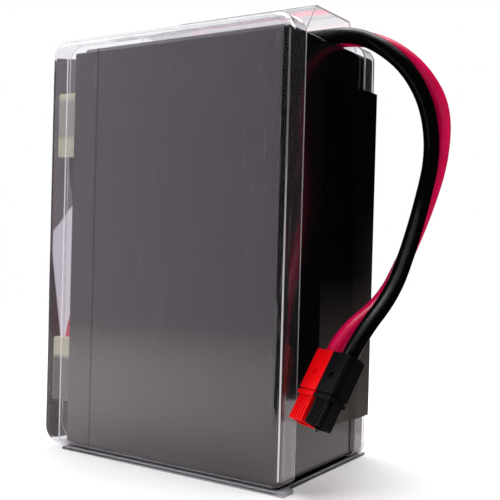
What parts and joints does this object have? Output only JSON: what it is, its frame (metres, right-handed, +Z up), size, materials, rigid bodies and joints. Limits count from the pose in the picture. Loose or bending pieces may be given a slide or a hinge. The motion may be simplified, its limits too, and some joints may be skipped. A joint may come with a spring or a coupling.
{
  "type": "ups battery pack",
  "caption": "Black sealed battery block in clear drawn trays, with a clear cable hood and a red and a black lead that end in square connectors side by side.",
  "frame": {"origin": "middle of the pack's outline, without the free leads, on the surface it stands on", "axes": "+Z up along the block's long side, +X towards the side where the leads come out, +Y from the front tray to the rear tray"},
  "size_m": [0.1388, 0.0695, 0.1629],
  "materials": {
    "block_black": "satin black moulding",
    "cap_rubber": "matt",
    "plate_grey": "dull lead grey",
    "tab_metal": "tinned",
    "clip_metal": "plain",
    "boot_tan": "milky nylon",
    "clear_sheet": "clear, glossy",
    "label_black": "matt black film",
    "lead_red": "satin crimson",
    "lead_black": "satin black",
    "shell_red": "semi-gloss red",
    "shell_black": "semi-gloss black",
    "contact_metal": "silvered",
    "spring_metal": "plain"
  },
  "bodies": {
    "root": {"battery_case": "block_black", "battery_lid": "block_black", "vent_cover": "block_black", "valve_caps": "cap_rubber", "cell_links": "plate_grey", "positive_terminal": "tab_metal", "negative_terminal": "tab_metal", "positive_receptacle": "clip_metal", "negative_receptacle": "clip_metal", "positive_boot": "boot_tan", "negative_boot": "boot_tan", "front_tray": "clear_sheet", "rear_tray": "clear_sheet", "cable_hood": "clear_sheet", "base_sheet": "clear_sheet", "side_label": "label_black", "red_inner_lead": "lead_red", "red_lead": "lead_red", "black_inner_lead": "lead_black", "black_lead": "lead_black", "red_housing": "shell_red", "black_housing": "shell_black", "red_contact": "contact_metal", "black_contact": "contact_metal", "red_spring": "spring_metal", "black_spring": "spring_metal", "plate_pack_1": "plate_grey", "plate_pack_2": "plate_grey", "plate_pack_3": "plate_grey", "plate_pack_4": "plate_grey", "plate_pack_5": "plate_grey", "plate_pack_6": "plate_grey"}
  },
  "joints": []
}
